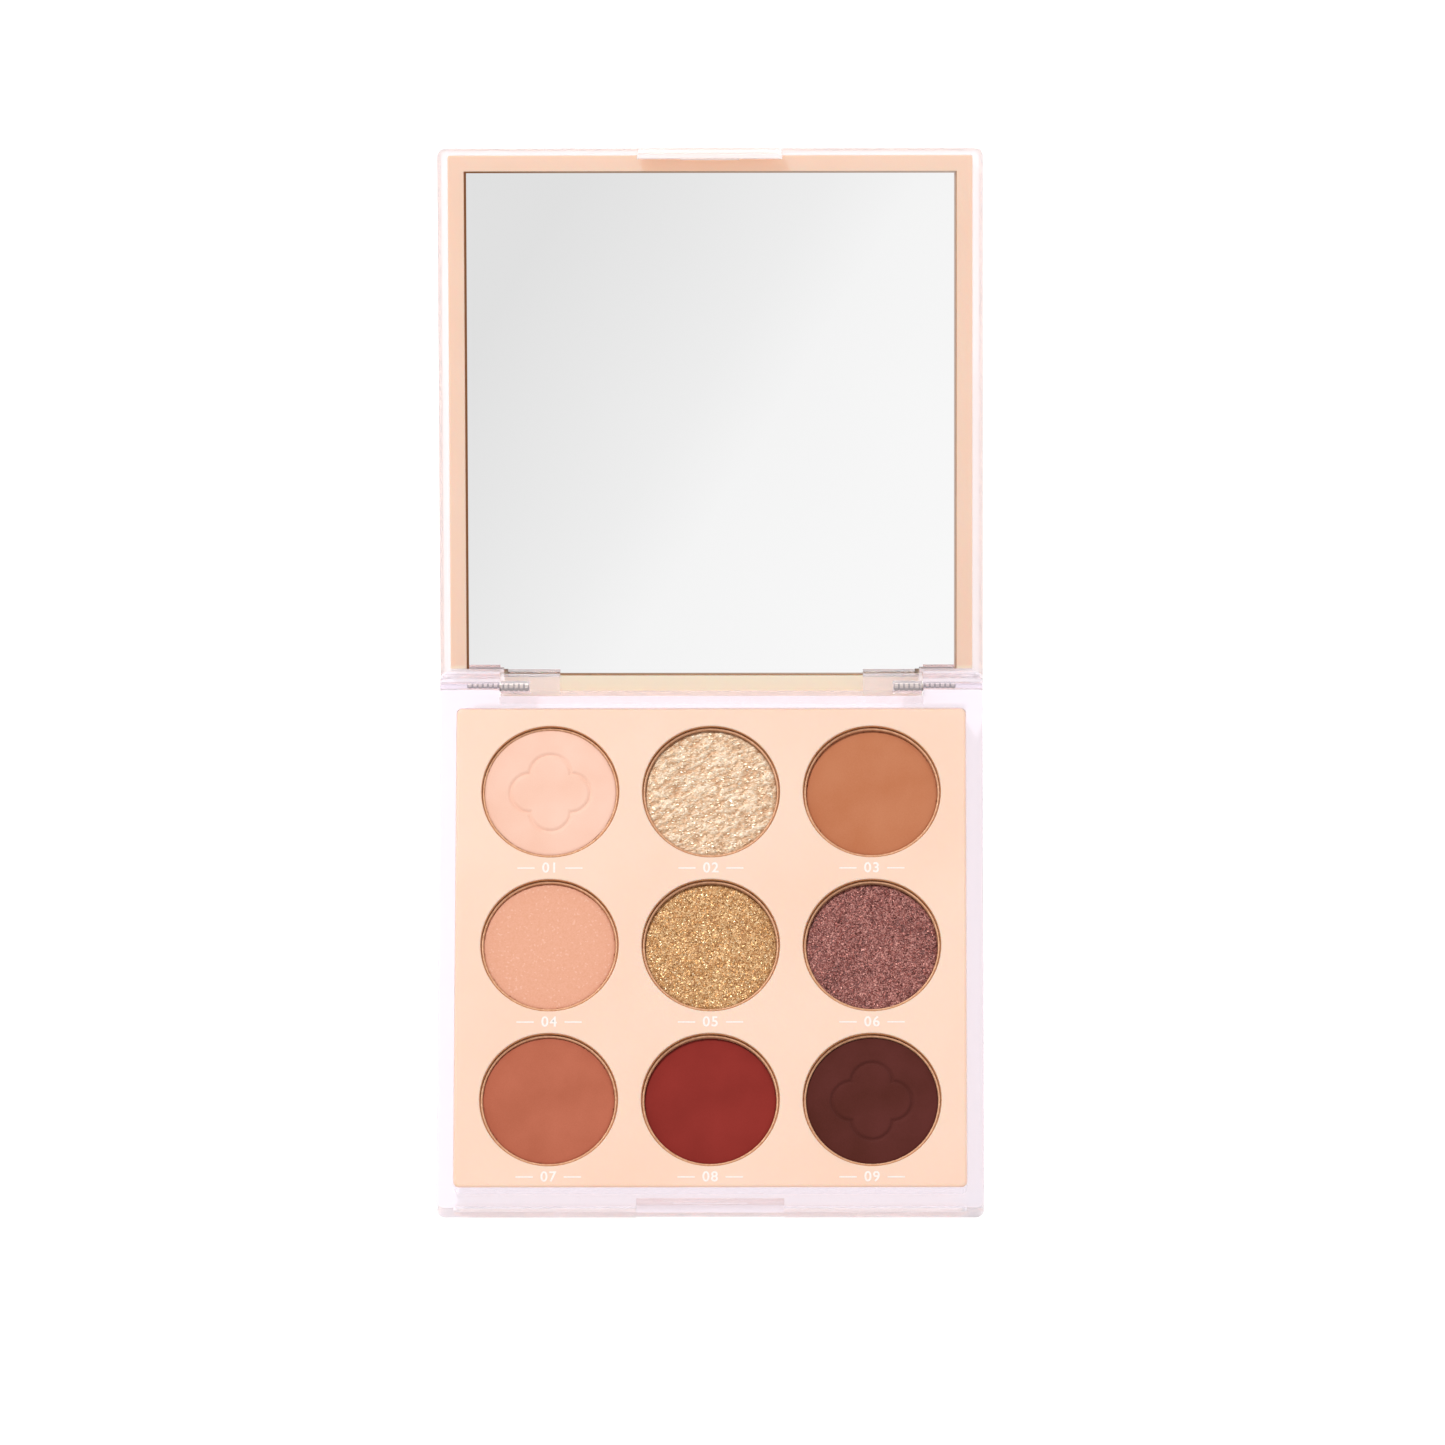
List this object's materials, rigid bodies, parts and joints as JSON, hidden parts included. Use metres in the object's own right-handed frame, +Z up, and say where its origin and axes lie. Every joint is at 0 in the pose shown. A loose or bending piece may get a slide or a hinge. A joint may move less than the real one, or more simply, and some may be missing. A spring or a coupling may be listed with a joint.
{
  "type": "eyeshadow palette",
  "caption": "Square eyeshadow palette in a clear hinged case: round pressed-powder pans in a peach tray, and a framed mirror in the lid.",
  "frame": {"origin": "middle of the flat underside of the base", "axes": "+X along the hinge to the right of a person facing the pans, -Y towards the thumb recess at the front, +Y towards the hinge, +Z up. The lid is open against its stop."},
  "size_m": [0.1036, 0.1964, 0.0597],
  "materials": {
    "clear_plastic": "clear, gloss",
    "peach_plastic": "satin",
    "pan_metal": "satin",
    "steel_pin": "knurled",
    "mirror": "polished",
    "adhesive": "tacky film",
    "label": "blank, matte",
    "shade_1": "pressed powder, matte",
    "shade_2": "pressed powder, pearl",
    "shade_3": "pressed powder, matte",
    "shade_4": "pressed powder, satin",
    "shade_5": "pressed powder, metallic glitter",
    "shade_6": "pressed powder, shimmer",
    "shade_7": "pressed powder, matte",
    "shade_8": "pressed powder, matte",
    "shade_9": "pressed powder, matte"
  },
  "bodies": {
    "base": {"base_shell": "clear_plastic", "pan_tray": "peach_plastic", "pan_1": "pan_metal", "pan_2": "pan_metal", "pan_3": "pan_metal", "pan_4": "pan_metal", "pan_5": "pan_metal", "pan_6": "pan_metal", "pan_7": "pan_metal", "pan_8": "pan_metal", "pan_9": "pan_metal", "powder_1": "shade_1", "powder_2": "shade_2", "powder_3": "shade_3", "powder_4": "shade_4", "powder_5": "shade_5", "powder_6": "shade_6", "powder_7": "shade_7", "powder_8": "shade_8", "powder_9": "shade_9", "pan_adhesive": "adhesive", "base_label": "label", "hinge_pins": "steel_pin"},
    "lid": {"lid_shell": "clear_plastic", "mirror_frame": "peach_plastic", "mirror": "mirror", "mirror_adhesive": "adhesive"}
  },
  "joints": [
    {"name": "lid_hinge", "type": "hinge", "parent": "base", "child": "lid", "pos_m": [0, 0.05058, 0.0058], "axis": [1, 0, 0], "range_deg": [0, 150]}
  ]
}
